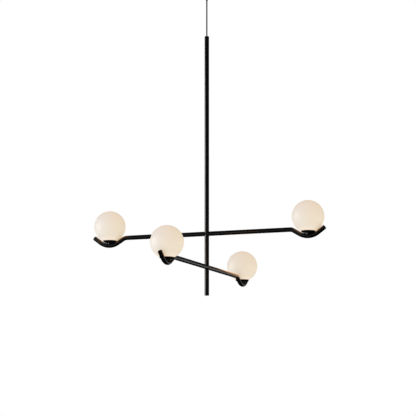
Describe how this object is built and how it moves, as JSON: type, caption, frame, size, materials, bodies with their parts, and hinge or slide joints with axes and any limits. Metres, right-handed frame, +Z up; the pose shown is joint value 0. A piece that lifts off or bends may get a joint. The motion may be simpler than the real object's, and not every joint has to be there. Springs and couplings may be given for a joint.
{
  "type": "branch chandelier",
  "caption": "Branch chandelier on a cable: a long tube stem, crossed tube arms bent into saddles at their ends, and an opal glass globe nested in each saddle.",
  "frame": {"origin": "on the ceiling face of the bracket, over the axis of the stem", "axes": "+Z up into the ceiling; the upper arm lies along X and the lower arm along Y"},
  "size_m": [1.0912, 1.0912, 1.3873],
  "materials": {
    "satin_black": "satin black powder coat",
    "cable": "matt black sheath",
    "zinc_steel": "bright zinc plated steel",
    "brass": "turned brass",
    "opal_glass": "satin opal glass, warm white",
    "ceramic": "glazed ceramic",
    "bulb": "frosted bulb",
    "ring_black": "moulded black ring",
    "polyamide": "natural polyamide",
    "wire": "white heat-proof sleeve"
  },
  "bodies": {
    "ceiling_fitting": {"ceiling_bracket": "zinc_steel", "hanger_stirrup": "zinc_steel", "cord_grip": "brass", "terminal_block": "polyamide", "cable_tail": "wire", "supply_cable": "cable"},
    "canopy": {"canopy_cup": "satin_black", "canopy_collar": "satin_black", "collar_screw": "zinc_steel"},
    "lamp": {"stem_top_cap": "satin_black", "stem_upper_tube": "satin_black", "stem_middle_tube": "satin_black", "stem_lower_tube": "satin_black", "stem_foot_cap": "satin_black", "anchor_plug": "brass", "tie_rod": "zinc_steel", "splice_block": "polyamide", "stem_cable": "cable", "upper_arm_tube": "satin_black", "lower_arm_tube": "satin_black", "tip_plug_right": "satin_black", "lead_right": "wire", "saddle_washer_right": "satin_black", "nipple_right": "zinc_steel", "dish_right": "satin_black", "dish_nut_right": "zinc_steel", "lampholder_right": "ceramic", "tip_plug_left": "satin_black", "lead_left": "wire", "saddle_washer_left": "satin_black", "nipple_left": "zinc_steel", "dish_left": "satin_black", "dish_nut_left": "zinc_steel", "lampholder_left": "ceramic", "tip_plug_back": "satin_black", "lead_back": "wire", "saddle_washer_back": "satin_black", "nipple_back": "zinc_steel", "dish_back": "satin_black", "dish_nut_back": "zinc_steel", "lampholder_back": "ceramic", "tip_plug_front": "satin_black", "lead_front": "wire", "saddle_washer_front": "satin_black", "nipple_front": "zinc_steel", "dish_front": "satin_black", "dish_nut_front": "zinc_steel", "lampholder_front": "ceramic"},
    "globe_right": {"globe_right": "opal_glass", "neck_ring_right": "ring_black"},
    "bulb_right": {"bulb_right": "bulb"},
    "globe_left": {"globe_left": "opal_glass", "neck_ring_left": "ring_black"},
    "bulb_left": {"bulb_left": "bulb"},
    "globe_back": {"globe_back": "opal_glass", "neck_ring_back": "ring_black"},
    "bulb_back": {"bulb_back": "bulb"},
    "globe_front": {"globe_front": "opal_glass", "neck_ring_front": "ring_black"},
    "bulb_front": {"bulb_front": "bulb"}
  },
  "joints": [
    {"name": "canopy_drop", "type": "slide", "parent": "ceiling_fitting", "child": "canopy", "axis": [0, 0, 1], "range_m": [-0.12, 0]},
    {"name": "lamp_turn", "type": "hinge", "parent": "ceiling_fitting", "child": "lamp", "pos_m": [0, 0, -0.2243], "axis": [0, 0, 1], "range_deg": [-45, 45]},
    {"name": "globe_lift_right", "type": "slide", "parent": "lamp", "child": "globe_right", "axis": [0, 0, 1], "range_m": [0, 0.09]},
    {"name": "bulb_pull_right", "type": "slide", "parent": "lamp", "child": "bulb_right", "axis": [0, 0, 1], "range_m": [0, 0.02]},
    {"name": "globe_lift_left", "type": "slide", "parent": "lamp", "child": "globe_left", "axis": [0, 0, 1], "range_m": [0, 0.09]},
    {"name": "bulb_pull_left", "type": "slide", "parent": "lamp", "child": "bulb_left", "axis": [0, 0, 1], "range_m": [0, 0.02]},
    {"name": "globe_lift_back", "type": "slide", "parent": "lamp", "child": "globe_back", "axis": [0, 0, 1], "range_m": [0, 0.09]},
    {"name": "bulb_pull_back", "type": "slide", "parent": "lamp", "child": "bulb_back", "axis": [0, 0, 1], "range_m": [0, 0.02]},
    {"name": "globe_lift_front", "type": "slide", "parent": "lamp", "child": "globe_front", "axis": [0, 0, 1], "range_m": [0, 0.09]},
    {"name": "bulb_pull_front", "type": "slide", "parent": "lamp", "child": "bulb_front", "axis": [0, 0, 1], "range_m": [0, 0.02]}
  ]
}
